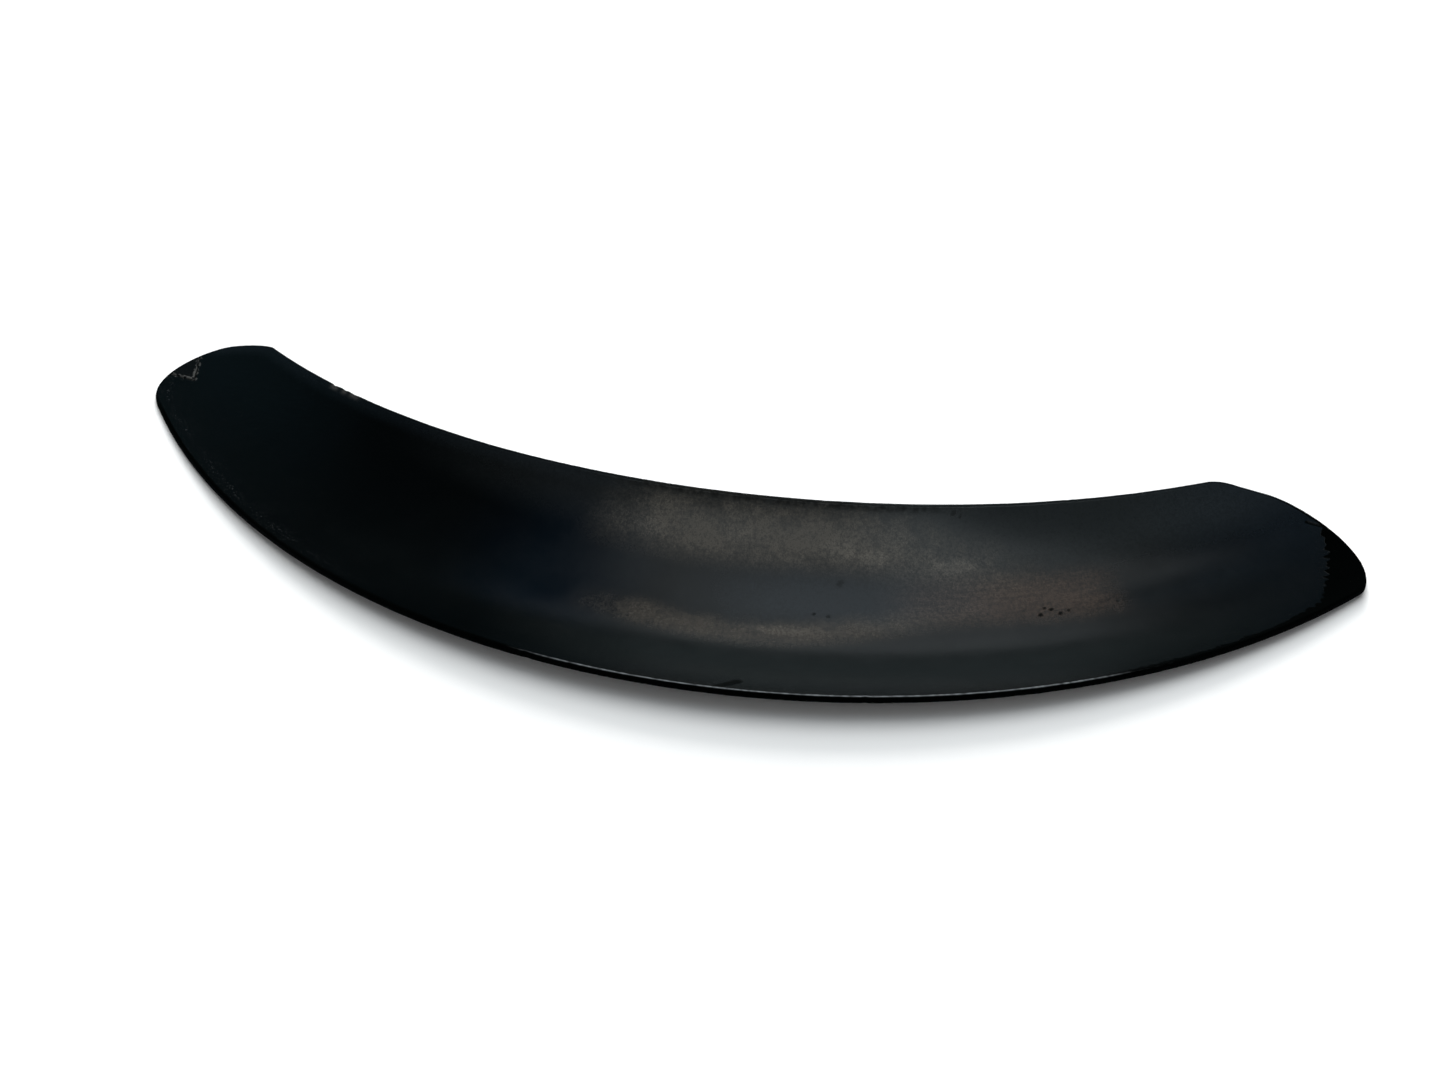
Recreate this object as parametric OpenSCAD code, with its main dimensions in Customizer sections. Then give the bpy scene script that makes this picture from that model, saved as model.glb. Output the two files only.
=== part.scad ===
// Split-horn trough dish: one half of a curved black horn, hollowed, ground and coated black.
// X runs along the dish, +Y towards the hollow side of the bend, +Z up.
// The origin is at the middle of the footprint, on the surface that the dish stands on.

/* [Horn wall] */
// Radius of the bend, from the bend's axis to the belly line
bend_r = 280; // [220:1:360]
// Radius of the hollow across the dish
hollow_r = 62; // [50:0.5:90]
// Thickness of the horn itself
horn_wall = 2; // [1.5:0.1:3.5]
// Thickness of the black coat
coat = 0.4; // [0.2:0.05:0.6]
// Depth ground off the belly to make the foot
foot_cut = 0.7; // [0.5:0.05:0.9]

/* [Long edges] */
// Radius of the near edge seen from above
near_r = 253.7; // [230:0.5:280]
// Distance from the belly line to the near edge at mid length
near_mid = 32.5; // [25:0.1:40]
// Sideways shift of the near edge's centre
near_shift = -0.9; // [-10:0.1:10]
// Radius of the far edge seen from above
far_r = 280.7; // [250:0.5:320]
// Distance from the belly line to the far edge at mid length
far_mid = 44.2; // [35:0.1:50]
// Sideways shift of the far edge's centre
far_shift = 2.4; // [-10:0.1:10]

/* [Left end] */
// Angle round the bend to the centre of the left end's arc
left_angle = 44.8; // [42:0.1:48]
// Offset of that centre from the belly line
left_off = 12.6; // [8:0.1:14]
// Radius of the left end's arc
left_r = 48; // [44:0.1:52]
// Corner radius at the near side of the left end
left_near_corner = 19.4; // [14:0.1:22]
// Corner radius at the far side of the left end
left_far_corner = 7; // [3:0.1:9]

/* [Right end] */
// Angle round the bend to the centre of the right end's arc
right_angle = 33.3; // [32:0.1:36]
// Offset of that centre from the belly line
right_off = -4.6; // [-8:0.1:2]
// Radius of the right end's arc
right_r = 28.1; // [27:0.1:32]
// Corner radius at the near side of the right end
right_near_corner = 7.9; // [4:0.1:10]
// Radius of the right end's far shoulder
shoulder_r = 25.2; // [18:0.1:27]
// Angle round the far edge's centre at which the shoulder begins
shoulder_angle = 26.9; // [25:0.1:28]

/* [Tip crack and lap] */
// Length of the crack's arm towards the near corner
crack_near_arm = 8.3; // [6:0.1:12]
// Length of the crack's arm towards the far corner
crack_far_arm = 12; // [8:0.1:15]
// Width of the coat's lap over the inside at the right near corner
lap_w = 11; // [6:0.5:14]

/* [Hidden] */

coat_r = hollow_r + horn_wall + coat;
horn_r = hollow_r + horn_wall;
axis_z = coat_r - foot_cut;
rim_top = 40;
over = 0.5;
// Held back from the tangent points, so that the straight run meets both discs cleanly
shy = 0.03;

function polar(a, q) = [(bend_r + q) * sin(a), bend_r - (bend_r + q) * cos(a)];
function unit(v) = v / norm(v);
// One of the two points at ra from a and rb from b; side picks which.
function meet(a, ra, b, rb, side) =
    let (d = norm(b - a), e = unit(b - a))
    let (k = (ra * ra - rb * rb + d * d) / (2 * d))
    let (h = sqrt(ra * ra - k * k))
    a + k * e + side * h * [-e[1], e[0]];

near_c = [near_shift, near_r - near_mid];
far_c = [far_shift, far_r + far_mid];
left_c = polar(-left_angle, left_off);
right_c = polar(right_angle, right_off);
shoulder_c = far_c + (far_r + shoulder_r) * [sin(shoulder_angle), -cos(shoulder_angle)];
// Centres of the three corner arcs
ln_c = meet(near_c, near_r - left_near_corner, left_c, left_r - left_near_corner, -1);
lf_c = meet(far_c, far_r + left_far_corner, left_c, left_r - left_far_corner, -1);
rn_c = meet(near_c, near_r - right_near_corner, right_c, right_r - right_near_corner, 1);
// Direction square to the straight line that touches the shoulder and the right end's arc
gap = right_c - shoulder_c;
lean = (shoulder_r - right_r) / norm(gap);
touch = lean * unit(gap) + sqrt(1 - lean * lean) * [-unit(gap)[1], unit(gap)[0]];

x_low = ln_c[0] - left_near_corner;
x_high = right_c[0] + right_r;
y_low = near_c[1] - near_r;
y_high = ln_c[1] + left_near_corner;
mid = [(x_low + x_high) / 2, (y_low + y_high) / 2];

// Tip of the crack, measured on the dish, and the outline of the flake that it frees
crack_tip = polar(-50.1, -6.6);
flake_a = crack_tip + 2 * crack_near_arm * unit([-8, 2.5]);
flake_b = crack_tip + 2 * crack_far_arm * unit([-1.5, 12]);
flake_pts = [crack_tip, flake_b, [flake_a[0], flake_b[1]], flake_a];

// Inner edge of the coat's lap, from the far side to the near edge
lap_x = x_high - lap_w;
lap_y = right_c[1];
lap_pts = [
    [lap_x - 7, lap_y + 34], [lap_x - 1.5, lap_y + 21.5], [lap_x + 1.5, lap_y + 17],
    [lap_x, lap_y], [lap_x - 2, lap_y - 14], [lap_x - 5, lap_y - 18.5], [lap_x - 12, lap_y - 26],
    [lap_x - 12, lap_y - 40], [lap_x + 40, lap_y - 40], [lap_x + 40, lap_y + 34]
];

// What a corner loses: a wedge from the corner arc's centre outwards, less the arc's own disc
module corner_waste(c, r, a, b) {
    ua = unit(a);
    ub = unit(b);
    reach = 2.6 * r;
    difference() {
        polygon([c, c + r * ua, c + reach * ua, c + reach * unit(ua + ub), c + reach * ub, c + r * ub]);
        translate(c) circle(r = r, $fn = 96);
    }
}

// Stretch between the two ends and the straight run of the right end, before the long edges trim it
module middle(inset) {
    polygon([
        far_c, shoulder_c,
        shoulder_c + (shoulder_r - inset - shy) * touch,
        right_c + (right_r - inset - shy) * touch,
        right_c, right_c + 60 * unit(right_c - near_c),
        [0, -120], left_c + 60 * unit(left_c - near_c), left_c
    ]);
}

// The dish seen from above, drawn in by inset all round
module outline(inset) {
    difference() {
        intersection() {
            translate(near_c) circle(r = near_r - inset, $fn = 720);
            union() {
                middle(inset);
                translate(shoulder_c) circle(r = shoulder_r - inset, $fn = 180);
                translate(right_c) circle(r = right_r - inset, $fn = 180);
                translate(left_c) circle(r = left_r - inset, $fn = 180);
            }
        }
        translate(far_c) circle(r = far_r + inset, $fn = 720);
        corner_waste(ln_c, left_near_corner - inset, ln_c - near_c, ln_c - left_c);
        corner_waste(lf_c, left_far_corner - inset, far_c - lf_c, lf_c - left_c);
        corner_waste(rn_c, right_near_corner - inset, rn_c - near_c, rn_c - right_c);
    }
}

// Everything above the ground plane inside the outline
module prism(inset) {
    linear_extrude(height = rim_top) outline(inset);
}

// Lower half of the bent tube between two section radii
module bent_tube(r_out, r_in) {
    translate([0, bend_r, axis_z])
        rotate_extrude($fn = 480)
            translate([bend_r, 0])
                difference() {
                    circle(r = r_out, $fn = 240);
                    circle(r = r_in, $fn = 240);
                    translate([-r_out - 1, 0]) square([2 * r_out + 2, r_out + 1]);
                }
}

module flake_zone() {
    linear_extrude(height = rim_top) polygon(flake_pts);
}

module lap_zone() {
    intersection() {
        bent_tube(hollow_r + coat, hollow_r - over);
        linear_extrude(height = rim_top) polygon(lap_pts);
    }
}

// The horn itself, bare inside the hollow and on the foot strip
module horn_shell() {
    color([0.20, 0.19, 0.18])
        translate([-mid[0], -mid[1], 0])
            difference() {
                intersection() {
                    bent_tube(horn_r, hollow_r);
                    prism(coat);
                }
                lap_zone();
                flake_zone();
            }
}

// Black coat over the outside, the rim and the lap at the right near corner
module black_coat() {
    color([0.02, 0.02, 0.025])
        translate([-mid[0], -mid[1], 0])
            difference() {
                intersection() {
                    bent_tube(coat_r, hollow_r);
                    prism(0);
                }
                difference() {
                    intersection() {
                        bent_tube(horn_r, hollow_r - over);
                        prism(coat);
                    }
                    lap_zone();
                }
                intersection() {
                    bent_tube(horn_r, hollow_r - over);
                    flake_zone();
                }
            }
}

// Loose three-cornered flake held in the crack at the left end
module tip_flake() {
    color([0.30, 0.31, 0.31])
        translate([-mid[0], -mid[1], 0])
            intersection() {
                bent_tube(horn_r, hollow_r);
                prism(0);
                flake_zone();
            }
}

horn_shell();
black_coat();
tip_flake();
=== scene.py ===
"""Split-horn dish: the looks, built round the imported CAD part. Metres, +Z up, the CAD part's own frame."""
import math

import bpy
import numpy as np
from mathutils import Matrix, Vector


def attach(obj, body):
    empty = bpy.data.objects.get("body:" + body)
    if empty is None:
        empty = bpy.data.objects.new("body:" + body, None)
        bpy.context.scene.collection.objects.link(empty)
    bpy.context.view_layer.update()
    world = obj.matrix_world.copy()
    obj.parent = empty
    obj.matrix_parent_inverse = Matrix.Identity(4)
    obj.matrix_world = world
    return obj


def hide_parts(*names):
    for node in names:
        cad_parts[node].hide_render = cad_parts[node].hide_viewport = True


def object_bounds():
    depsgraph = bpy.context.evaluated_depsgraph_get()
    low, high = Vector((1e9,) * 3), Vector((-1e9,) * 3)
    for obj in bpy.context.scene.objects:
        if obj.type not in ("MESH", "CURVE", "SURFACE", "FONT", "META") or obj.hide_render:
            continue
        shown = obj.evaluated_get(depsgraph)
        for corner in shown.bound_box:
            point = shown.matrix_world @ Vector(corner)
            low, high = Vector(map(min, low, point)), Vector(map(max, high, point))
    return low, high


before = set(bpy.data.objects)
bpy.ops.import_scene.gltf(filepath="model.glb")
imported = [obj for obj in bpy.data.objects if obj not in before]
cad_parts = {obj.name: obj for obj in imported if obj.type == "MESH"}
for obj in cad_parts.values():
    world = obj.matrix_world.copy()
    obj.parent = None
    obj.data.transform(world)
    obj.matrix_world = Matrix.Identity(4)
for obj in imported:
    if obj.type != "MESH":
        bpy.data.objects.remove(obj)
cad_low, cad_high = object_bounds()

MM = 0.001

# ---------------------------------------------------------------- design sizes, in millimetres and degrees
# Section of the bent tube
BEND_R = 280.0
HOLLOW_R = 62.0
HORN_WALL = 2.0
COAT = 0.4
FOOT_CUT = 0.7
HORN_R = HOLLOW_R + HORN_WALL
COAT_R = HORN_R + COAT
AXIS_Z = COAT_R - FOOT_CUT
# Half width of the bare horn strip in the ground foot
FOOT_HALF = math.sqrt(HORN_R ** 2 - AXIS_Z ** 2)

# Plan: the two long edges, the left end, the right end and its far shoulder
NEAR_R, NEAR_MID, NEAR_SHIFT = 253.7, 32.5, -0.9
FAR_R, FAR_MID, FAR_SHIFT = 280.7, 44.2, 2.4
LEFT_ANGLE, LEFT_OFF, LEFT_R = 44.8, 12.6, 48.0
LEFT_NEAR_CORNER, LEFT_FAR_CORNER = 19.4, 7.0
RIGHT_ANGLE, RIGHT_OFF, RIGHT_R, RIGHT_NEAR_CORNER = 33.3, -4.6, 28.1, 7.9
SHOULDER_R, SHOULDER_ANGLE = 25.2, 26.9

# Spine that the rays start from: one long arc between two end points, and how finely it is divided
SPINE_OFF = -7.0
SPINE_LEFT, SPINE_RIGHT = -47.0, 32.0
ALONG_STEPS = 620
FAN_STEPS = 260

# Width of the rim's rounding on the near and the far side, and of the rounding below the rim
NEAR_ROUND, FAR_ROUND = 1.0, 0.45
UNDER_ROUND = 0.55
# How far the coat stands above the bare inside
LAP_PROUD = 0.05
# Gap between the coat's rounding and the horn, and the finely divided band that follows it
HORN_GAP = 0.06
FINE_BAND, FINE_STEP = 13.0, 0.42
# Depth of the bed under the flake, how far it reaches past the flake, and the depth of the nicks
BED_DEPTH, BED_MARGIN = 0.95, 0.12
NICK_DEPTH = 0.30
# Distance from the rim that the material reads on the underside and the spine
FAR_INSIDE = 60.0

# ---------------------------------------------------------------- looks shared by the pieces
HORN_IOR = 1.50
# Specular level of bare horn and of the coat
SATIN, POLISHED = 0.18, 0.20

# ---------------------------------------------------------------- light and camera
WORLD = 0.02
PANEL_GLOW = 1.6
PANEL_HEIGHT = 0.70
WARM = (1.0, 0.985, 0.965)
# Azimuths of the suns, behind the dish and in front of it
BEHIND, IN_FRONT = 90 + 6.8, -90 + 6.8
FLOOR_HALF = 40.0
CAMERA_TURN, CAMERA_TILT, CAMERA_DISTANCE = 6.79, 40.68, 0.6577
CAMERA_LEFT, CAMERA_UP = 0.0146, 0.0287
SENSOR, LENS = 36.0, 54.8


# ---------------------------------------------------------------- plan outline
def polar(angle_deg, off):
    """Plan point at that angle round the bend, off outwards from the belly line."""
    a = math.radians(angle_deg)
    return np.array([(BEND_R + off) * math.sin(a), BEND_R - (BEND_R + off) * math.cos(a)])


def unit(v):
    return v / np.hypot(*v)


def meet(a, ra, b, rb, side):
    """One of the two points at ra from a and rb from b."""
    gap = b - a
    d = np.hypot(*gap)
    e = gap / d
    k = (ra * ra - rb * rb + d * d) / (2 * d)
    h = math.sqrt(ra * ra - k * k)
    return a + k * e + side * h * np.array([-e[1], e[0]])


def arc(centre, radius, start, end, turn, step=0.15):
    """Points from start to end round centre; turn is +1 anticlockwise, -1 clockwise."""
    a0 = math.atan2(*(start - centre)[::-1])
    a1 = math.atan2(*(end - centre)[::-1])
    while turn * (a1 - a0) < 0:
        a1 += turn * 2 * math.pi
    count = max(4, int(abs(a1 - a0) * radius / step))
    a = np.linspace(a0, a1, count, endpoint=False)
    return centre + radius * np.c_[np.cos(a), np.sin(a)]


def plan_outline():
    """Dense closed outline of the dish seen from above, anticlockwise, before it is centred."""
    near_c = np.array([NEAR_SHIFT, NEAR_R - NEAR_MID])
    far_c = np.array([FAR_SHIFT, FAR_R + FAR_MID])
    left_c = polar(-LEFT_ANGLE, LEFT_OFF)
    right_c = polar(RIGHT_ANGLE, RIGHT_OFF)
    s = math.radians(SHOULDER_ANGLE)
    shoulder_c = far_c + (FAR_R + SHOULDER_R) * np.array([math.sin(s), -math.cos(s)])
    ln = meet(near_c, NEAR_R - LEFT_NEAR_CORNER, left_c, LEFT_R - LEFT_NEAR_CORNER, -1)
    lf = meet(far_c, FAR_R + LEFT_FAR_CORNER, left_c, LEFT_R - LEFT_FAR_CORNER, -1)
    rn = meet(near_c, NEAR_R - RIGHT_NEAR_CORNER, right_c, RIGHT_R - RIGHT_NEAR_CORNER, 1)
    gap = right_c - shoulder_c
    lean = (SHOULDER_R - RIGHT_R) / np.hypot(*gap)
    touch = lean * unit(gap) + math.sqrt(1 - lean * lean) * np.array([-unit(gap)[1], unit(gap)[0]])

    def on(centre, radius, towards):
        return centre + radius * unit(towards - centre)

    run_a, run_b = right_c + RIGHT_R * touch, shoulder_c + SHOULDER_R * touch
    run = run_a + (run_b - run_a) * np.linspace(0, 1, 60, endpoint=False)[:, None]
    shoulder_start = on(far_c, FAR_R, shoulder_c)
    parts = [
        arc(near_c, NEAR_R, on(near_c, NEAR_R, ln), on(near_c, NEAR_R, rn), 1),
        arc(rn, RIGHT_NEAR_CORNER, on(near_c, NEAR_R, rn), on(right_c, RIGHT_R, rn), 1),
        arc(right_c, RIGHT_R, on(right_c, RIGHT_R, rn), run_a, 1),
        run,
        arc(shoulder_c, SHOULDER_R, run_b, shoulder_start, 1),
        arc(far_c, FAR_R, shoulder_start, on(far_c, FAR_R, lf), -1),
        arc(lf, LEFT_FAR_CORNER, on(far_c, FAR_R, lf), on(left_c, LEFT_R, lf), 1),
        arc(left_c, LEFT_R, on(left_c, LEFT_R, lf), on(left_c, LEFT_R, ln), 1),
        arc(ln, LEFT_NEAR_CORNER, on(left_c, LEFT_R, ln), on(near_c, NEAR_R, ln), 1),
    ]
    corners = {"right_c": right_c, "x_high": right_c[0] + RIGHT_R}
    low = np.array([ln[0] - LEFT_NEAR_CORNER, near_c[1] - NEAR_R])
    high = np.array([right_c[0] + RIGHT_R, ln[1] + LEFT_NEAR_CORNER])
    return np.vstack(parts), (low + high) / 2, corners


OUTLINE, MID, CORNERS = plan_outline()


def offset_of(p):
    """Distance outwards from the belly line of plan points."""
    return np.hypot(p[..., 0], BEND_R - p[..., 1]) - BEND_R


def height(p, section_r):
    """Height of the bent tube's lower face of that section radius, never below the ground foot."""
    q = offset_of(p)
    return np.maximum(0.0, AXIS_Z - np.sqrt(section_r ** 2 - q ** 2))


def angle_of(p):
    """Angle round the bend of plan points, in degrees, negative to the left."""
    return np.degrees(np.arctan2(p[..., 0], BEND_R - p[..., 1]))


# ---------------------------------------------------------------- rays from the spine to the rim
def crossing(starts, ways, line, closed=True):
    """Distance from each start along its way to the polyline, or nan."""
    a = line
    b = np.roll(line, -1, axis=0) if closed else line[1:]
    a = a if closed else line[:-1]
    seg = b - a
    found = np.full(len(starts), np.nan)
    for i, (s, w) in enumerate(zip(starts, ways)):
        den = w[0] * seg[:, 1] - w[1] * seg[:, 0]
        rel = a - s
        with np.errstate(divide="ignore", invalid="ignore"):
            t = (rel[:, 0] * seg[:, 1] - rel[:, 1] * seg[:, 0]) / den
            u = (rel[:, 0] * w[1] - rel[:, 1] * w[0]) / den
        hit = (t > 1e-6) & (u >= -1e-9) & (u <= 1 + 1e-9)
        if hit.any():
            found[i] = t[hit].min()
    return found


def spine_line():
    """Angles of the spine's points, and the points themselves."""
    angles = np.linspace(SPINE_LEFT, SPINE_RIGHT, ALONG_STEPS + 1)
    return angles, np.array([polar(a, SPINE_OFF) for a in angles])


def turned(v, t):
    """The vector v turned by each of the angles t, in radians."""
    return np.c_[v[0] * np.cos(t) - v[1] * np.sin(t), v[0] * np.sin(t) + v[1] * np.cos(t)]


def ray_set():
    """Rays in order round the dish: near side, right fan, far side, left fan.

    Gives each ray's start, its direction, the spine point it starts from and its length to the rim.
    """
    angles, spine = spine_line()
    outward = np.array([[math.sin(math.radians(a)), -math.cos(math.radians(a))] for a in angles])
    turns = np.radians(np.linspace(0, 180, FAN_STEPS + 1)[1:-1])
    along = np.arange(ALONG_STEPS + 1)
    starts = np.vstack([
        spine, np.repeat(spine[-1:], len(turns), 0),
        spine[::-1], np.repeat(spine[:1], len(turns), 0),
    ])
    ways = np.vstack([outward, turned(outward[-1], turns), -outward[::-1], turned(-outward[0], turns)])
    index = np.concatenate([
        along, np.full(len(turns), ALONG_STEPS),
        along[::-1], np.zeros(len(turns), int),
    ])
    return starts, ways, index, crossing(starts, ways, OUTLINE)


STARTS, WAYS, SPINE_INDEX, REACH = ray_set()
RIM = STARTS + WAYS * REACH[:, None]
COUNT = len(RIM)
RIM_OFF = offset_of(RIM)
RIM_ANGLE = angle_of(RIM)
NEAR_SIDE = RIM_OFF > SPINE_OFF
RIM_STEPS = np.hypot(*(np.roll(RIM, -1, 0) - RIM).T)
RUN = np.concatenate([[0], np.cumsum(RIM_STEPS)[:-1]])
LOOP = RIM_STEPS.sum()


def ripple(waves, seed, lowest=3):
    """Smooth closed noise round the rim, about -1 to 1, with waves up to that many per turn."""
    rng = np.random.RandomState(seed)
    k = np.arange(lowest, waves)
    size = rng.normal(size=len(k)) / np.sqrt(len(k))
    phase = rng.uniform(0, 2 * math.pi, len(k))
    return (size[:, None] * np.cos(k[:, None] * RUN * 2 * math.pi / LOOP + phase[:, None])).sum(0)


def smooth(value, low, high):
    """0 below low, 1 above high, and an even curve between."""
    t = np.clip((value - low) / (high - low), 0, 1)
    return t * t * (3 - 2 * t)


def rim_spot(angle_deg, near_side, width):
    """Bump of height 1 round one place on the rim, given by its angle round the bend."""
    side = NEAR_SIDE if near_side else RIM_OFF < SPINE_OFF
    d = (RIM_ANGLE - angle_deg) * math.radians(1) * BEND_R
    return np.exp(-(d / width) ** 2) * side


def nearness():
    """1 along the near rim and round the right-hand corner, 0 along the far rim."""
    order = np.arange(COUNT)
    fan = FAN_STEPS - 1
    right_start = ALONG_STEPS + 1
    left_start = 2 * (ALONG_STEPS + 1) + fan
    falls = 1 - smooth(order, right_start + 0.62 * fan, right_start + 0.80 * fan)
    rises = smooth(order, left_start + 0.55 * fan, COUNT - 1)
    return np.maximum(falls, rises)


def corner_cut(line, passes):
    """Polyline with its corners cut, so that it reads as a curve."""
    for _ in range(passes):
        ahead = line[:-1] * 0.75 + line[1:] * 0.25
        behind = line[:-1] * 0.25 + line[1:] * 0.75
        line = np.vstack([line[:1], np.column_stack([ahead, behind]).reshape(-1, 2), line[-1:]])
    return line


def crescent_width():
    """Width of the coat's crescent in the right corner at each ray, with its scalloped inner edge."""
    corner = np.array([CORNERS["x_high"] - 12.0, CORNERS["right_c"][1]])
    line = corner_cut(corner + np.array([
        [6.0, 23.4], [-0.8, 20.9], [0.9, 14.5], [1.0, 6.0], [-0.2, -2.0], [-1.7, -10.0], [-3.2, -16.8],
        [-8.0, -20.8], [-14.1, -27.2], [-22.4, -34.3], [-32.0, -42.0],
    ]), 3)
    hit = crossing(STARTS, WAYS, line, closed=False)
    width = np.where(np.isnan(hit), 0.0, REACH - np.nan_to_num(hit))
    scallop = 0.75 * ripple(330, 5, 120) + 0.35 * ripple(800, 6, 330)
    width = np.where(width > 0, width + scallop * smooth(width, 0.5, 4.0), 0.0)
    for _ in range(2):
        width = (np.roll(width, 1) + 2 * width + np.roll(width, -1)) / 4
    return width


def lap_width(start, turn):
    """How far the coat reaches over the inside at each ray.

    It is a narrow ledge along the rim, wider and ragged on the right part of the near side, and a
    crescent in the right corner.
    """
    far_ledge, more_when_near = 0.14, 0.16
    near_right = NEAR_SIDE * smooth(RIM_ANGLE, 17.5, 22.0)
    torn = 0.25 + 0.80 * np.abs(ripple(420, 8, 90))
    ledge = start + turn + far_ledge + more_when_near * NEAR + near_right * torn
    return np.maximum(ledge + 0.05 * ripple(700, 7, 200), crescent_width())


def chips():
    """How strong the far rim's chips are at each ray, and how far all the chips cut into the rim."""
    far = 0.60 * rim_spot(-39.7, False, 1.6) + 0.50 * rim_spot(-38.6, False, 1.1)
    far = far + 0.45 * rim_spot(-37.5, False, 2.0)
    torn = 0.55 * far * (1 + 0.35 * ripple(900, 9, 300))
    cut = torn + 0.22 * rim_spot(5.5, True, 0.9) + 0.3 * rim_spot(-13.0, True, 1.0)
    return far, cut


NEAR = nearness()
# 1 along the stretch of the near rim where the overhead panel's sheen falls, which gets a painted highlight
SHEEN_RIM_STRETCH = smooth(RIM_ANGLE, -14.5, -9.5) * (1 - smooth(RIM_ANGLE, 17.5, 20.5)) * NEAR_SIDE
FAR_CHIPS, CHIP_CUT = chips()
CHIPPED = np.clip(FAR_CHIPS * 3.0, 0, 1)
# How far the rim is worn back, and how wide its rounding is
EDGE = np.maximum(0, 0.03 * ripple(90, 21) + 0.02 * ripple(600, 22, 150) + CHIP_CUT)
ROUND_UNEVEN = 1 + 0.08 * ripple(60, 11) + 0.06 * ripple(400, 12, 60)
ROUND = (FAR_ROUND + (NEAR_ROUND - FAR_ROUND) * NEAR) * ROUND_UNEVEN
LAP = lap_width(EDGE, ROUND)

# Nicks in the horn: both ends in plan, and half width
NICKS = (
    (polar(-2.6, 32.4), polar(-1.4, 25.2), 1.6),
    (polar(37.95, -15.2), polar(38.75, -11.6), 0.7),
)


# ---------------------------------------------------------------- meshes
def make_piece(name, verts, faces):
    """Smooth-shaded object with that mesh, in the scene."""
    mesh = bpy.data.meshes.new(name)
    mesh.from_pydata([tuple(v) for v in verts], [], faces)
    mesh.validate()
    mesh.update()
    piece = bpy.data.objects.new(name, mesh)
    bpy.context.scene.collection.objects.link(piece)
    mesh.polygons.foreach_set("use_smooth", [True] * len(mesh.polygons))
    return piece


def place(plan, z):
    """Plan points in millimetres before centring, and heights, to metres in the CAD frame."""
    return np.concatenate([(plan - MID) * MM, np.asarray(z)[..., None] * MM], axis=-1)


def inward(d):
    """Plan points at distance d inwards from the rim along each ray."""
    return RIM - WAYS * np.asarray(d)[:, None]


def ring_faces(rings, count, closed_profile):
    """Quads between rings of count vertices; a closed profile also joins the last ring to the first."""
    faces = []
    last = rings if closed_profile else rings - 1
    for k in range(last):
        a, b = k * count, ((k + 1) % rings) * count
        for i in range(count):
            j = (i + 1) % count
            faces.append((a + i, a + j, b + j, b + i))
    return faces


def bezier(a, b, c, t):
    """Curve from a to c, drawn towards b."""
    return (1 - t) ** 2 * a + 2 * t * (1 - t) * b + t * t * c


def add_value(piece, name, values):
    """One number for each vertex, which the material reads."""
    field = piece.data.attributes.new(name, "FLOAT", "POINT")
    field.data.foreach_set("value", np.asarray(values, dtype=np.float32))


def foot_distance():
    """Distance inwards from the rim at which each ray meets the bare foot strip."""
    steps = 400
    reach = REACH[:, None] * np.linspace(0, 1, steps)[None, :]
    p = RIM[:, None, :] - WAYS[:, None, :] * reach[..., None]
    inside = np.abs(offset_of(p)) < FOOT_HALF + 0.1
    first = np.where(inside.any(1), inside.argmax(1), steps - 1)
    return np.maximum(reach[np.arange(COUNT), first], UNDER_ROUND + 0.6)


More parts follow.
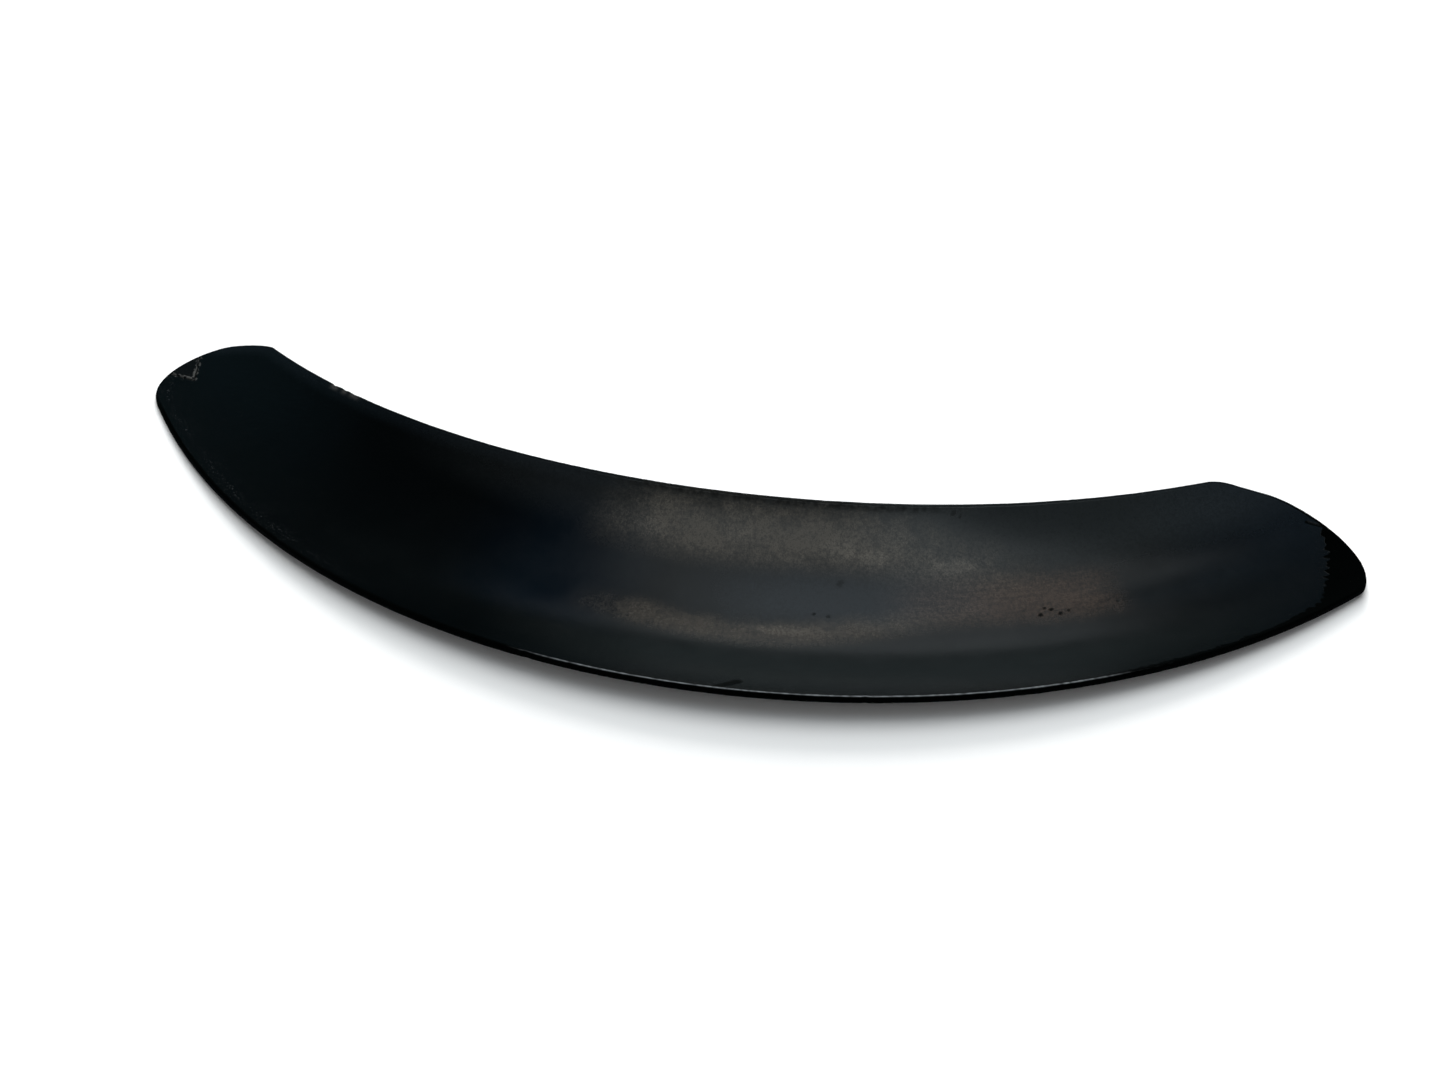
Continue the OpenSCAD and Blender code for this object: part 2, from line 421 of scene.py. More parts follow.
def coat_piece():
    """Closed skin: lap on the inside, rounded rim, outside down to the foot strip, and its hidden back."""
    lap_rings = [(1.0, -0.05), (0.998, 0.7 * LAP_PROUD)]
    lap_rings += [(f, LAP_PROUD) for f in (0.993, 0.97, 0.85, 0.65, 0.45, 0.25, 0.1)]
    # The back's place behind the rim, its run to the foot, and how far it lies within the coat
    back_in, back_run, back_lift = 0.45, 0.47, 0.22
    # How far the back lies below the wall's top, below the rounding and below the lap's edge
    below_wall, below_round, below_lap = 0.35, 0.75, 0.25
    rings, rim_highlight, bare, gaps = [], [], [], []
    rim_top, rim_low = height(RIM, HOLLOW_R), height(RIM, COAT_R)
    start, turn = EDGE, EDGE + ROUND
    none = np.zeros(COUNT)
    # Pale strip on the near rim's rounding: a painted highlight, the overhead panel's sheen put into the
    # colour
    painted_lip_highlight = SHEEN_RIM_STRETCH * np.clip(0.85 + 0.35 * ripple(500, 14, 40), 0, 1.4)

    def ring(d, z, lip_shine=none, open_horn=none):
        rings.append((inward(d), z))
        rim_highlight.append(lip_shine)
        bare.append(open_horn)
        gaps.append(np.zeros(COUNT) + d)

    def on_top(d, lift):
        return height(inward(d), HOLLOW_R) + lift

    for f, lift in lap_rings:
        d = turn + (LAP - turn) * f
        ring(d, on_top(d, lift), none, 1 - NEAR)
    wall_top = rim_top + LAP_PROUD - ROUND * 0.95
    for t in np.linspace(0, 1, 13):
        d = bezier(turn, start, start, t)
        z = bezier(on_top(turn, LAP_PROUD), rim_top + LAP_PROUD, wall_top, t)
        ring(d, z, painted_lip_highlight * math.exp(-((t - 0.30) / 0.20) ** 2), (1 - NEAR) * (1 - t))
    under = start + UNDER_ROUND
    wall_low = np.minimum(rim_low + UNDER_ROUND * 0.9, wall_top - 0.1)
    for t in np.linspace(0, 1, 6):
        ring(bezier(start, start, under, t), bezier(wall_low, rim_low, height(inward(under), COAT_R), t))
    foot_at = foot_distance()
    for t in np.linspace(0, 1, 27)[1:]:
        d = under + (foot_at - under) * t
        ring(d, height(inward(d), COAT_R))
    for t in np.linspace(1, 0, 9):
        d = start + back_in + (foot_at - back_run - start) * t
        ring(d, height(inward(d), COAT_R) + back_lift)
    ring(start + back_in, wall_top - below_wall)
    ring(np.maximum(start + 0.5, start + 0.8 * ROUND), on_top(start + 0.8 * ROUND, -below_round))
    d = turn + (LAP - turn) * 0.99
    ring(d, on_top(d, -below_lap))
    verts = np.concatenate([place(p, z) for p, z in rings])
    piece = make_piece("black_coat_skin", verts, ring_faces(len(rings), COUNT, True))
    add_value(piece, "rim_highlight", np.concatenate(rim_highlight))
    add_value(piece, "bare", np.concatenate(bare))
    add_value(piece, "rim_gap", np.concatenate(gaps))
    add_value(piece, "chipped", np.tile(CHIPPED, len(rings)))
    return piece


def flake_frame():
    """Tip of the crack, and the directions of its two arms."""
    ways = np.array([unit(np.array([-8.0, 2.5])), unit(np.array([-1.5, 12.0]))])
    return polar(-50.1, -6.6), ways


def inside_flake(p, gap):
    """True for plan points inside the flake's outline drawn out by gap."""
    tip, (a, b) = flake_frame()
    rel = p - tip
    side_a = rel[..., 0] * a[1] - rel[..., 1] * a[0]
    side_b = rel[..., 0] * b[1] - rel[..., 1] * b[0]
    return (side_a > -gap) & (side_b < gap)


def nick_depth(p):
    """1 in the bottom of each nick cut into the horn, 0 outside them."""
    depth = np.zeros(p.shape[:-1])
    for a, b, size in NICKS:
        way = b - a
        t = np.clip(((p - a) @ way) / (way @ way), 0, 1)
        away = np.hypot(*np.moveaxis(p - a - t[..., None] * way, -1, 0))
        depth = np.maximum(depth, 1 - smooth(away, 0.25 * size, 0.9 * size))
    return depth


def top_distances(first):
    """Distance inwards of each ring of the inside: a finely divided band, then wider steps to the spine."""
    fine = np.arange(0, FINE_BAND, FINE_STEP)
    rest = np.linspace(0, 1, 21)[1:-1]
    return [first + f for f in fine] + [first + fine[-1] + (REACH - first - fine[-1]) * r for r in rest]


def horn_faces(top_rings, under_rings):
    """Faces of the inside and the underside, the strips that close both on the spine, and the edge."""
    shift = top_rings * COUNT
    top_spine = (top_rings + under_rings) * COUNT
    low_spine = top_spine + ALONG_STEPS + 1
    last_top = (top_rings - 1) * COUNT
    last_low = (top_rings + under_rings - 1) * COUNT
    faces = ring_faces(top_rings, COUNT, False)
    faces += [tuple(shift + v for v in reversed(f)) for f in ring_faces(under_rings, COUNT, False)]
    for i in range(COUNT):
        j = (i + 1) % COUNT
        si, sj = SPINE_INDEX[i], SPINE_INDEX[j]
        for ring, at, flip in ((last_top, top_spine, False), (last_low, low_spine, True)):
            face = (ring + i, ring + j, at + sj, at + si) if si != sj else (ring + i, ring + j, at + si)
            faces.append(tuple(reversed(face)) if flip else face)
        faces.append((j, i, shift + i, shift + j))
    return faces


def horn_piece():
    """Closed wall: the bare inside, and the underside with the ground foot strip."""
    first = EDGE + ROUND + HORN_GAP
    distances = top_distances(first)
    verts = []
    for d in distances:
        p = inward(d)
        z = height(p, HOLLOW_R)
        verts.append(place(p, z - BED_DEPTH * inside_flake(p, BED_MARGIN) - NICK_DEPTH * nick_depth(p)))
    under_span = 26
    under = np.r_[0.0, 0.5, np.linspace(1.0, under_span, 16)] / under_span
    for f in under[:-1]:
        p = inward(first + (REACH - first) * f)
        verts.append(place(p, height(p, HORN_R)))
    spine = spine_line()[1]
    verts += [place(spine, height(spine, HOLLOW_R)), place(spine, height(spine, HORN_R))]
    verts = np.concatenate(verts)
    piece = make_piece("horn_wall", verts, horn_faces(len(distances), len(under) - 1))
    inside = len(distances) * COUNT
    gap = np.full(len(verts), FAR_INSIDE)
    gap[:inside] = np.concatenate(distances)
    add_value(piece, "rim_gap", gap)
    add_value(piece, "chipped", np.r_[np.tile(CHIPPED, len(distances)), np.zeros(len(verts) - inside)])
    return piece


def plate_faces(across, outward):
    """Faces of a plate of two equal grids of vertices, one over the other, and of its edge."""
    faces = []
    half = across * outward
    for k in range(outward - 1):
        for i in range(across - 1):
            a = k * across + i
            faces.append((a, a + across, a + across + 1, a + 1))
            faces.append((half + a, half + a + 1, half + a + across + 1, half + a + across))
    edge = list(range(across)) + [k * across + across - 1 for k in range(1, outward)]
    edge += [(outward - 1) * across + i for i in range(across - 2, -1, -1)]
    edge += [k * across for k in range(outward - 2, 0, -1)]
    for a, b in zip(edge, edge[1:] + edge[:1]):
        faces.append((a, b, half + b, half + a))
    return faces


def flake_piece():
    """Closed three-cornered plate in the crack, a little proud and tilted, with worn edges."""
    across, outward = 25, 31
    rim_margin, gap, plate_depth = 0.35, 0.26, 0.8
    edge_drop, edge_rise, tilt = -0.30, 0.40, 0.16
    tip, ways = flake_frame()
    s = np.linspace(0, 1, across)
    angle_a, angle_b = (math.atan2(w[1], w[0]) for w in ways)
    while angle_b > angle_a:
        angle_b -= 2 * math.pi
    spread = angle_a + (angle_b - angle_a) * s
    dirs = np.c_[np.cos(spread), np.sin(spread)]
    limit = crossing(np.repeat([tip], across, 0), dirs, OUTLINE) - rim_margin
    rng = np.random.RandomState(31)
    knots = 12
    wobble = np.interp(np.linspace(0, 1, outward), np.linspace(0, 1, knots), rng.normal(size=knots))
    wobble = 0.26 * wobble
    top, low = [], []
    for k, f in enumerate(np.linspace(0.05, 1, outward)):
        p = tip + dirs * (limit * f)[:, None]
        side = np.where(s < 0.5, 1, -1)
        pull = side * (gap + wobble[k] * 0.6) * np.clip(np.abs(s - 0.5) * 2, 0, 1) ** 6
        p = p - np.c_[-dirs[:, 1], dirs[:, 0]] * pull[:, None]
        edge = np.clip(np.minimum(s, 1 - s) * 14, 0, 1) * np.clip((1 - f) * 16, 0, 1)
        edge = edge * np.clip((f - 0.03) * 12, 0, 1)
        z = height(p, HOLLOW_R)
        top.append(place(p, z + (edge_drop + edge_rise * np.sqrt(edge) + tilt * (1 - f))))
        low.append(place(p, z - plate_depth))
    verts = np.concatenate([np.concatenate(top), np.concatenate(low)])
    return make_piece("crack_flake", verts, plate_faces(across, outward))


# ---------------------------------------------------------------- material helpers
class Nodes:
    """Short ways to add and join shader nodes."""

    def __init__(self, name):
        self.mat = bpy.data.materials.new(name)
        self.mat.use_nodes = True
        self.tree = self.mat.node_tree
        self.tree.nodes.clear()
        self.out = self.tree.nodes.new("ShaderNodeOutputMaterial")
        self.bsdf = self.tree.nodes.new("ShaderNodeBsdfPrincipled")
        self.tree.links.new(self.bsdf.outputs[0], self.out.inputs[0])

    def add(self, kind, **values):
        node = self.tree.nodes.new(kind)
        for key, value in values.items():
            setattr(node, key, value)
        return node

    def feed(self, socket, value):
        if isinstance(value, bpy.types.NodeSocket):
            self.tree.links.new(value, socket)
        else:
            socket.default_value = value

    def math(self, op, a, b=0.0, clamp=False):
        node = self.add("ShaderNodeMath", operation=op, use_clamp=clamp)
        self.feed(node.inputs[0], a)
        self.feed(node.inputs[1], b)
        return node.outputs[0]

    def plus(self, a, b):
        return self.math("ADD", a, b)

    def minus(self, a, b):
        return self.math("SUBTRACT", a, b)

    def times(self, a, b):
        return self.math("MULTIPLY", a, b)

    def product(self, *values):
        total = values[0]
        for value in values[1:]:
            total = self.times(total, value)
        return total

    def hypot(self, x, y):
        """Length of the vector x, y."""
        return self.math("SQRT", self.plus(self.times(x, x), self.times(y, y)))

    def noise(self, vector, scale, detail, rough):
        node = self.add("ShaderNodeTexNoise")
        self.feed(node.inputs["Vector"], vector)
        for key, v in (("Scale", scale), ("Detail", detail), ("Roughness", rough), ("Distortion", 0.0)):
            node.inputs[key].default_value = v
        return node.outputs["Fac"]

    def ramp(self, value, low, high, out_low=0.0, out_high=1.0):
        """out_low at low, out_high at high, and an even curve between."""
        node = self.add("ShaderNodeMapRange", interpolation_type="SMOOTHSTEP")
        self.feed(node.inputs["Value"], value)
        for key, v in (("From Min", low), ("From Max", high), ("To Min", out_low), ("To Max", out_high)):
            node.inputs[key].default_value = v
        return node.outputs["Result"]

    def mix(self, fac, a, b, **values):
        """Colour a where fac is 0 and b where it is 1; each is a socket or three numbers."""
        node = self.add("ShaderNodeMix", data_type="RGBA", **values)
        self.feed(node.inputs["Factor"], fac)
        for key, colour in (("A", a), ("B", b)):
            if not isinstance(colour, bpy.types.NodeSocket):
                colour = (*colour, 1.0)
            self.feed(node.inputs[key], colour)
        return node.outputs["Result"]

    def tint(self, colour, amount, added):
        """The colour with that much of another added to it."""
        return self.mix(amount, colour, added, blend_type="ADD")

    def xyz(self, x, y, z):
        node = self.add("ShaderNodeCombineXYZ")
        for socket, v in zip(node.inputs, (x, y, z)):
            self.feed(socket, v)
        return node.outputs[0]

    def value_of(self, name):
        """The number that the mesh carries under that name."""
        return self.add("ShaderNodeAttribute", attribute_name=name).outputs["Fac"]

    def bump(self, height_value, strength, distance, normal=None):
        node = self.add("ShaderNodeBump")
        node.inputs["Strength"].default_value = strength
        node.inputs["Distance"].default_value = distance
        self.feed(node.inputs["Height"], height_value)
        if normal is not None:
            self.feed(node.inputs["Normal"], normal)
        return node.outputs[0]

    def surface(self, colour, roughness, specular, normal):
        """What the shader is fed; IOR and specular level are the same all over, so they are set on it."""
        self.feed(self.bsdf.inputs["Base Color"], colour)
        self.feed(self.bsdf.inputs["Roughness"], roughness)
        self.bsdf.inputs["IOR"].default_value = HORN_IOR
        self.bsdf.inputs["Specular IOR Level"].default_value = specular
        self.feed(self.bsdf.inputs["Normal"], normal)
        return self.mat


class HornNodes(Nodes):
    """Adds what the three pieces share: places on the horn, noises, broken edges and the colour."""

    def __init__(self, name):
        super().__init__(name)
        z = self.find_place()
        along, off = self.along, self.off
        self.flat = self.xyz(along, off, z)
        self.grain = self.noise(self.flat, 1.9, 3.0, 0.75)
        self.clump = self.noise(self.flat, 0.11, 6.0, 0.66)
        self.fleck = self.noise(self.flat, 0.75, 4.0, 0.70)
        self.drift = self.noise(self.flat, 0.030, 3.0, 0.50)
        self.streak = self.noise(self.xyz(self.times(along, 0.05), off, z), 1.1, 5.0, 0.65)
        self.fibre = self.noise(self.xyz(self.times(along, 0.08), off, z), 2.6, 4.0, 0.6)
        self.cross = self.noise(self.xyz(along, self.times(off, 0.10), z), 1.9, 3.0, 0.65)

    def find_place(self):
        """Sets x and y in plan, along the belly line (negative to the left) and off outwards from it.

        Gives the height. All are in millimetres.
        """
        per_metre = 1000.0
        spot = self.add("ShaderNodeTexCoord")
        split = self.add("ShaderNodeSeparateXYZ")
        self.feed(split.inputs[0], spot.outputs["Object"])
        self.x = self.plus(self.times(split.outputs[0], per_metre), float(MID[0]))
        self.y = self.plus(self.times(split.outputs[1], per_metre), float(MID[1]))
        back = self.minus(BEND_R, self.y)
        self.along = self.times(self.math("ARCTAN2", self.x, back), BEND_R)
        self.off = self.minus(self.hypot(self.x, back), BEND_R)
        return self.times(split.outputs[2], per_metre)

    def patch(self, centre, size):
        """1 at the centre of an ellipse on the horn, falling to 0 at its edge."""
        a = self.math("DIVIDE", self.minus(self.along, centre[0]), size[0])
        b = self.math("DIVIDE", self.minus(self.off, centre[1]), size[1])
        return self.ramp(self.hypot(a, b), 1.0, 0.0)

    def near_line(self, a, b):
        """Distance in millimetres from the plan segment a to b."""
        way = np.array(b) - np.array(a)
        length = float(np.hypot(*way))
        way_x, way_y = (float(v) for v in way / length)
        rx, ry = self.minus(self.x, float(a[0])), self.minus(self.y, float(a[1]))
        t = self.plus(self.times(rx, way_x), self.times(ry, way_y))
        t = self.math("MINIMUM", self.math("MAXIMUM", t, 0.0), length)
        return self.hypot(self.minus(rx, self.times(t, way_x)), self.minus(ry, self.times(t, way_y)))

    def stretch(self, value, rise_from, rise_to, fall_from, fall_to):
        """0, then 1 between the middle two values, then 0 again."""
        return self.times(self.ramp(value, rise_from, rise_to), self.ramp(value, fall_to, fall_from))

    def strip(self, off, centre, half, soft):
        """1 within half of the centre, 0 beyond, with a soft edge."""
        away = self.math("ABSOLUTE", self.minus(off, centre))
        return self.ramp(away, half + soft, half - soft)

    def centred(self, noise, size):
        """The noise, swinging evenly to both sides of 0."""
        return self.times(self.minus(noise, 0.5), size)

    def crack_edge(self, width, torn_low, torn_high):
        """Where the crack's broken edges are pale: in ragged patches, wider towards the rim."""
        tip, ways = flake_frame()
        arm = 20
        left = self.near_line(tip + ways[0] * 0.6, tip + ways[0] * arm)
        right = self.near_line(tip, tip + ways[1] * arm)
        torn = self.noise(self.flat, 0.50, 3.0, 0.60)
        away = self.plus(self.math("MINIMUM", left, right), self.minus(self.grain, 0.5))
        reach = self.times(self.near_line(tip, tip + ways[0] * 0.2), 0.025)
        away = self.minus(away, reach)
        broad = self.times(self.ramp(torn, torn_low, torn_high), width)
        return self.ramp(self.minus(away, broad), 0.05, -0.35)

    def broken_edge(self, colour):
        """Pale broken horn in the chips of the far rim."""
        gap = self.plus(self.value_of("rim_gap"), self.times(self.clump, 2.0))
        rim = self.ramp(gap, 3.2, 1.6)
        broken = self.product(self.value_of("chipped"), rim, self.ramp(self.grain, 0.30, 0.55, 0.35, 1.0))
        return self.mix(broken, colour, (0.048, 0.048, 0.046))

    def flares(self, texture):
        """The brightest clouds in the two hazy bands.

        Each has its place along and off the belly line, its half length and width, and its strength.
        """
        clouds = (
            (-48.0, -32.4, 11.0, 4.0, 0.75), (-16.0, -34.5, 7.5, 3.4, 0.65), (20.0, -31.5, 9.0, 4.4, 1.45),
            (31.5, -29.5, 6.5, 3.8, 1.15), (59.0, -26.4, 11.0, 3.2, 1.25), (2.0, -3.6, 22.0, 3.0, 0.60),
        )
        total = 0.0
        for along, off, length, width, strength in clouds:
            total = self.plus(self.times(self.patch((along, off), (length, width)), strength), total)
        return self.times(total, texture)

    def textures(self):
        """How the noises break up a layer: combed across, brushed lengthwise, soft, and scratched across."""
        speckle = self.ramp(self.grain, 0.30, 0.70, 0.55, 1.45)
        flecks = self.ramp(self.fleck, 0.38, 0.62, 0.66, 1.38)
        mottle = self.product(self.ramp(self.clump, 0.40, 0.60, 0.70, 1.26), speckle, flecks)
        hair_at = self.xyz(self.times(self.along, 1.2), self.times(self.off, 0.06), 0.0)
        hair = self.noise(hair_at, 3.2, 2.0, 0.6)
        across = self.ramp(self.cross, 0.30, 0.70, 0.84, 1.16)
        combed = self.product(mottle, across, self.ramp(hair, 0.60, 0.74, 1.0, 1.5))
        brushed = self.product(self.ramp(self.streak, 0.30, 0.70, 0.68, 1.26), speckle, flecks)
        faint = self.ramp(self.fleck, 0.35, 0.65, 0.88, 1.12)
        soft = self.times(self.ramp(self.grain, 0.25, 0.75, 0.78, 1.22), faint)
        scratched = self.times(soft, self.ramp(hair, 0.58, 0.72, 1.0, 1.35))
        return combed, brushed, soft, scratched

    def haze_layers(self, a, o, combed, brushed):
        """The two hazy bands and the warm brushed patch, each as amount and colour."""
        upper_line = self.ramp(self.along, 14.0, 118.0, -34.2, -19.0)
        upper = self.product(self.strip(o, upper_line, 6.0, 6.5),
                             self.stretch(a, -74.0, -36.0, 10.0, 106.0), combed)
        lower_line = self.plus(self.ramp(self.along, -52.0, -14.0, -4.0, -1.2),
                               self.ramp(self.along, -4.0, 56.0, 0.0, -7.5))
        lower = self.product(self.strip(o, lower_line, 3.4, 4.4),
                             self.stretch(a, -70.0, -38.0, 24.0, 76.0), combed)
        patch_line = self.ramp(self.along, 52.0, 106.0, -14.8, -12.6)
        patch = self.product(self.strip(o, patch_line, 6.5, 6.0),
                             self.stretch(a, 30.0, 80.0, 98.0, 122.0), brushed)
        return (
            (upper, (0.0480, 0.0417, 0.0332)),
            (lower, (0.0250, 0.0205, 0.0155)),
            (patch, (0.0325, 0.0218, 0.0158)),
        )

    def middle_layers(self, a, o, soft, scratched):
        """The middle of the hollow, the near wall and the right end, each as amount and colour."""
        middle = self.product(self.strip(o, -16.0, 8.0, 7.0),
                              self.stretch(a, -46.0, 16.0, 38.0, 82.0), scratched)
        near_wall = self.product(self.ramp(o, -3.0, 13.0), self.stretch(a, -92.0, -12.0, 60.0, 172.0),
                                 self.ramp(o, 32.0, 10.0, 0.30, 1.0), soft)
        far_end = self.product(self.ramp(o, -16.0, -32.0), self.stretch(a, 15.0, 62.0, 110.0, 245.0), soft)
        belly_end = self.product(self.ramp(a, 110.0, 180.0), self.ramp(o, 8.0, -24.0, 0.30, 1.0), soft)
        return (
            (middle, (0.0105, 0.0132, 0.0162)),
            (near_wall, (0.0080, 0.0100, 0.0103)),
            (far_end, (0.0136, 0.0160, 0.0170)),
            (belly_end, (0.0034, 0.0052, 0.0076)),
        )

    def edge_layers(self, a, o, soft):
        """The films by the far rim, a painted blue reflection at the sheen's left edge and the faint ends,
        each as amount and colour.
        """
        far_edge = self.product(self.ramp(o, -26.0, -38.0), self.ramp(a, -165.0, -60.0),
                                self.ramp(a, 80.0, 30.0), soft)
        rim_film = self.product(self.ramp(self.value_of("rim_gap"), 5.0, 0.8),
                                self.ramp(self.off, -14.0, -22.0), self.ramp(self.along, -35.0, -75.0), soft)
        # Painted reflection: blue along the left edge of the overhead panel's sheen
        painted_blue_edge = self.product(self.ramp(o, -46.0, -28.0), self.ramp(o, 12.0, 0.0),
                            self.stretch(a, -118.0, -68.0, -66.0, -36.0))
        far_belly = self.product(self.strip(o, -7.5, 4.0, 6.0),
                                 self.stretch(a, 100.0, 124.0, 136.0, 172.0), soft)
        tip_end = self.product(self.ramp(a, -140.0, -250.0), self.ramp(o, 6.0, -30.0, 0.5, 1.2), soft)
        return (
            (far_edge, (0.0080, 0.0088, 0.0090)),
            (rim_film, (0.0030, 0.0042, 0.0054)),
            (painted_blue_edge, (0.0001, 0.0014, 0.0036)),
            (far_belly, (0.0030, 0.0040, 0.0048)),
            (tip_end, (0.0016, 0.0032, 0.0040)),
        )

    def horn_colour(self):
        """Base colour, and how hazy the surface is."""
        a = self.plus(self.along, self.centred(self.drift, 30.0))
        o = self.plus(self.off, self.centred(self.clump, 4.5))
        combed, brushed, soft, scratched = self.textures()
        upper, lower, patch = self.haze_layers(a, o, combed, brushed)
        flare = (self.flares(combed), (0.0200, 0.0180, 0.0150))
        layers = (upper, flare, lower, patch)
        layers += self.middle_layers(a, o, soft, scratched) + self.edge_layers(a, o, soft)
        colour = (0.0006, 0.0012, 0.0014)
        for amount, added in layers:
            colour = self.tint(colour, amount, added)
        return colour, self.plus(upper[0], self.plus(lower[0], patch[0]))


# ---------------------------------------------------------------- materials
def far_rim_line(n, gap):
    """The darker blotched line by the middle of the far rim."""
    blotch = n.noise(n.flat, 0.45, 4.0, 0.6)
    return n.product(n.ramp(gap, 3.0, 1.1), n.ramp(n.off, -24.0, -34.0),
                     n.stretch(n.along, -90.0, -50.0, 40.0, 80.0), n.ramp(blotch, 0.38, 0.60, 0.30, 0.80))


def horn_marks(n, gap):
    """Dark marks: the line by the far rim, the specks and the nicks.

    Each speck has its angle round the bend, its place off the belly line, its size and its strength.
    """
    spots = (
        (4.1, -21.5, 1.1, 0.45), (3.4, -9.9, 0.6, 0.6), (2.5, -10.6, 0.5, 0.7), (17.0, -7.2, 0.7, 1.0),
        (17.8, -8.8, 0.6, 1.0), (18.3, -6.9, 0.6, 1.0), (17.4, -9.6, 0.5, 0.9), (18.9, -7.6, 0.5, 0.9),
        (22.3, -8.0, 0.5, 0.7), (12.4, -40.6, 0.7, 0.6), (12.9, -39.6, 0.4, 0.6),
    )
    marks = far_rim_line(n, gap)
    ragged = n.centred(n.grain, 2.2)
    for angle, off, size, depth in spots:
        centre = polar(angle, off)
        away = n.plus(n.near_line(centre, centre + 0.4 * size), n.times(ragged, size))
        marks = n.math("MAXIMUM", marks, n.ramp(away, size * 1.5, size * 0.3, 0.0, depth))
    for a, b, size in NICKS:
        away = n.plus(n.near_line(a, b), n.centred(n.grain, 0.9))
        marks = n.math("MAXIMUM", marks, n.ramp(away, size * 1.2, size * 0.5, 0.0, 0.95))
    return marks


def left_dust(n, gap):
    """Pale specks of dust that lie by the left rim."""
    speck = n.ramp(n.noise(n.flat, 1.5, 2.0, 0.6), 0.58, 0.68)
    line = n.plus(n.strip(gap, 4.6, 0.8, 1.2), n.ramp(gap, 12.0, 5.0, 0.0, 0.30))
    dust = n.product(speck, line, n.ramp(n.along, -110.0, -160.0), n.ramp(n.off, -6.0, 4.0))
    return n.times(dust, n.ramp(n.clump, 0.40, 0.60, 0.2, 1.0))


def horn_material():
    """Satin black horn with its haze, specks and nicks, the crack's pale edge and dust by the left rim."""
    n = HornNodes("horn_satin")
    colour, haze = n.horn_colour()
    gap = n.value_of("rim_gap")
    marks = horn_marks(n, gap)
    colour = n.broken_edge(n.mix(marks, colour, (0.0004, 0.0008, 0.0007)))
    colour = n.mix(n.crack_edge(0.9, 0.48, 0.38), colour, (0.038, 0.040, 0.040))
    colour = n.tint(colour, left_dust(n, gap), (0.022, 0.024, 0.025))

    rough = n.plus(n.ramp(n.clump, 0.3, 0.7, 0.18, 0.23), n.times(haze, 0.05))
    torn = n.times(marks, n.stretch(n.along, -85.0, -60.0, 95.0, 125.0))
    rough = n.math("ADD", rough, n.times(torn, 0.5), clamp=True)
    bump = n.bump(n.fibre, 0.40, 0.00003)
    bump = n.bump(n.grain, 0.35, 0.00003, bump)
    bump = n.bump(n.times(marks, -1.0), 0.5, 0.0001, bump)
    return n.surface(colour, rough, SATIN, bump)


def coat_material():
    """Polished black with a faint orange-peel, a painted highlight along the near edge, bare horn by the far
    edge.
    """
    n = HornNodes("coat_polished")
    horn = n.horn_colour()[0]
    peel = n.noise(n.flat, 0.9, 4.0, 0.6)
    sheen = n.noise(n.flat, 0.22, 5.0, 0.6)
    speck = n.ramp(n.noise(n.flat, 2.4, 2.0, 0.5), 0.72, 0.77, 0.0, 0.5)
    colour = n.mix(speck, (0.0001, 0.0003, 0.00025), (0.012, 0.013, 0.013))
    colour = n.broken_edge(n.mix(n.value_of("bare"), colour, horn))
    # Painted highlight: the pale strip on the near rim's rounding, where the panel's sheen falls
    rim_highlight = n.times(n.value_of("rim_highlight"), n.ramp(n.grain, 0.2, 0.6, 0.6, 1.0))
    colour = n.mix(rim_highlight, colour, (0.120, 0.132, 0.140))
    return n.surface(colour, n.ramp(sheen, 0.3, 0.7, 0.05, 0.09), POLISHED, n.bump(peel, 0.06, 0.00002))


def flake_material():
    """Dark horn, broken pale and fibrous along the two cracked edges."""
    n = HornNodes("flake_broken")
    pale = n.crack_edge(1.1, 0.40, 0.50)
    dark = n.mix(n.grain, (0.0020, 0.0030, 0.0036), (0.0040, 0.0052, 0.0058))
    colour = n.mix(pale, dark, (0.044, 0.045, 0.044))
    return n.surface(colour, n.ramp(pale, 0.0, 1.0, 0.24, 0.60), SATIN, n.bump(n.grain, 0.5, 0.00008))


def floor_material():
    """Matt white with a faint grain."""
    n = Nodes("floor_white")
    spot = n.add("ShaderNodeTexCoord")
    grain = n.noise(spot.outputs["Object"], 40.0, 3.0, 0.5)
    n.feed(n.bsdf.inputs["Base Color"], n.mix(grain, (0.90, 0.90, 0.90), (0.92, 0.92, 0.92)))
    n.bsdf.inputs["Roughness"].default_value = 0.9
    n.bsdf.inputs["Specular IOR Level"].default_value = 0.0
    return n.mat


# ---------------------------------------------------------------- stage
def build_floor():
    """Plain floor under the dish, which isn't mirrored in it."""
    size = FLOOR_HALF
    low = float(cad_low.z)
    corners = [(-size, -size, low), (size, -size, low), (size, size, low), (-size, size, low)]
    mesh = bpy.data.meshes.new("floor")
    mesh.from_pydata(corners, [], [(0, 1, 2, 3)])
    floor = bpy.data.objects.new("floor", mesh)
    bpy.context.scene.collection.objects.link(floor)
    floor.data.materials.append(floor_material())
    floor.visible_glossy = False


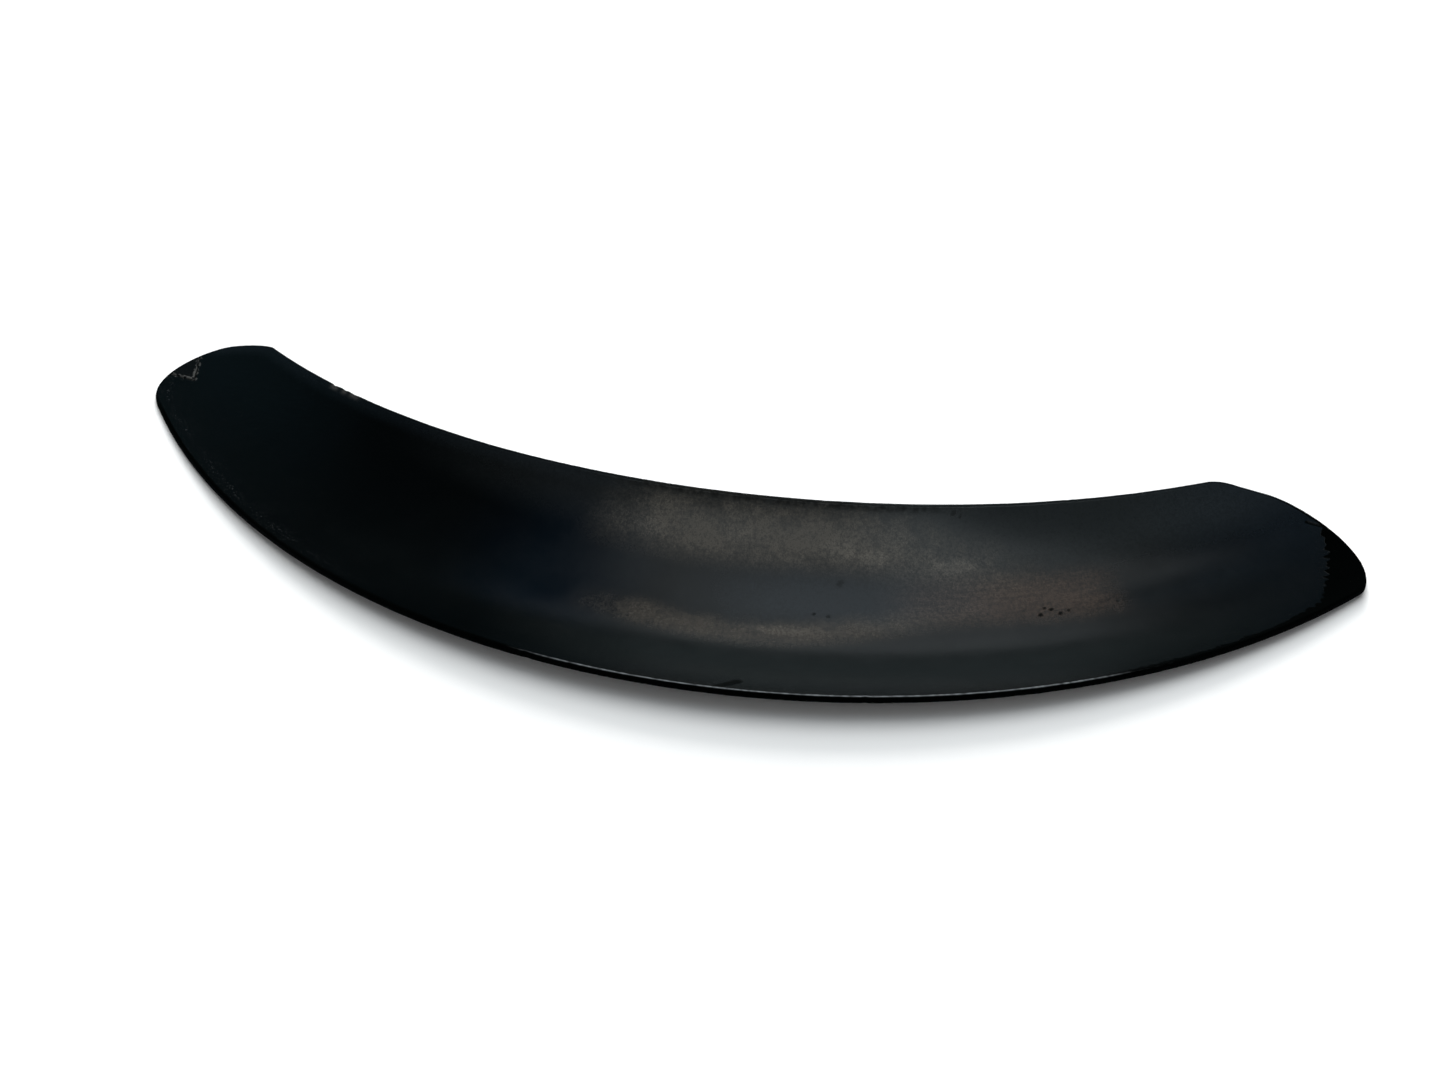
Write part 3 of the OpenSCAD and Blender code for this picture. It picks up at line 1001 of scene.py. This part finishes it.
def build_camera():
    """Camera in front of the dish and a little to its right, aimed left of its belly and above it."""
    turn, tilt = math.radians(CAMERA_TURN), math.radians(CAMERA_TILT)
    right = Vector((math.cos(turn), math.sin(turn), 0))
    ahead = Vector((-math.sin(turn) * math.cos(tilt), math.cos(turn) * math.cos(tilt), -math.sin(tilt)))
    up = right.cross(ahead)
    belly = Vector((-MID[0] * MM, -MID[1] * MM, (HORN_WALL + COAT - FOOT_CUT) * MM))
    aim = belly - right * CAMERA_LEFT + up * CAMERA_UP
    camera_data = bpy.data.cameras.new("camera")
    camera_data.sensor_width = SENSOR
    camera_data.lens = LENS
    camera_data.clip_start, camera_data.clip_end = 0.01, 50
    camera = bpy.data.objects.new("camera", camera_data)
    bpy.context.scene.collection.objects.link(camera)
    rotation = Matrix((right, up, -ahead)).transposed().to_4x4()
    camera.matrix_world = Matrix.Translation(aim - ahead * CAMERA_DISTANCE) @ rotation
    bpy.context.scene.camera = camera


def add_sun(name, azimuth, elevation, spread, strength, colour=(1, 1, 1)):
    """Broad light from that azimuth (0 is +X, 90 is +Y); it lights surfaces but isn't mirrored in them."""
    data = bpy.data.lights.new(name, "SUN")
    data.angle = math.radians(spread)
    data.energy = strength
    data.color = colour
    lamp = bpy.data.objects.new(name, data)
    a, e = math.radians(azimuth), math.radians(elevation)
    way = Vector((math.cos(a) * math.cos(e), math.sin(a) * math.cos(e), math.sin(e)))
    lamp.rotation_euler = way.to_track_quat("Z", "Y").to_euler()
    lamp.visible_glossy = False
    bpy.context.scene.collection.objects.link(lamp)


def add_panel(name, x, y, width, depth, turn):
    """Soft box that faces straight down, with the same glow whatever its size."""
    data = bpy.data.lights.new(name, "AREA")
    data.shape = "RECTANGLE"
    data.size, data.size_y = width, depth
    data.energy = PANEL_GLOW * math.pi * width * depth
    data.color = (0.88, 0.96, 1.0)
    lamp = bpy.data.objects.new(name, data)
    lamp.location = (x, y, PANEL_HEIGHT)
    lamp.rotation_euler = (0, 0, math.radians(turn))
    bpy.context.scene.collection.objects.link(lamp)


def build_lights():
    """Dim pale surroundings, two panels above the dish, one of them further back, and three suns."""
    scene = bpy.context.scene
    scene.world = bpy.data.worlds.new("studio")
    scene.world.use_nodes = True
    background = scene.world.node_tree.nodes["Background"]
    background.inputs[0].default_value = (0.80, 0.92, 1.0, 1)
    background.inputs[1].default_value = WORLD
    scene.view_settings.view_transform = "Standard"
    scene.view_settings.look = "None"
    add_panel("panel_over", 0.06, 0.00, 0.58, 0.86, -10)
    add_panel("panel_behind", 0.035, 0.69, 0.38, 0.54, 8)
    add_sun("back_light", BEHIND, 24, 44, 4.1, WARM)
    add_sun("top_light", BEHIND, 75, 60, 1.1, WARM)
    add_sun("front_fill", IN_FRONT, 35, 60, 0.60)


def dress(piece, nodes, material):
    """Puts the piece in the place of those CAD nodes, on the part's one body, with that material."""
    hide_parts(*nodes)
    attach(piece, "root")
    piece.data.materials.clear()
    piece.data.materials.append(material)


dress(horn_piece(), ["horn_shell"], horn_material())
dress(coat_piece(), ["black_coat"], coat_material())
dress(flake_piece(), ["tip_flake"], flake_material())
build_floor()
build_camera()
build_lights()
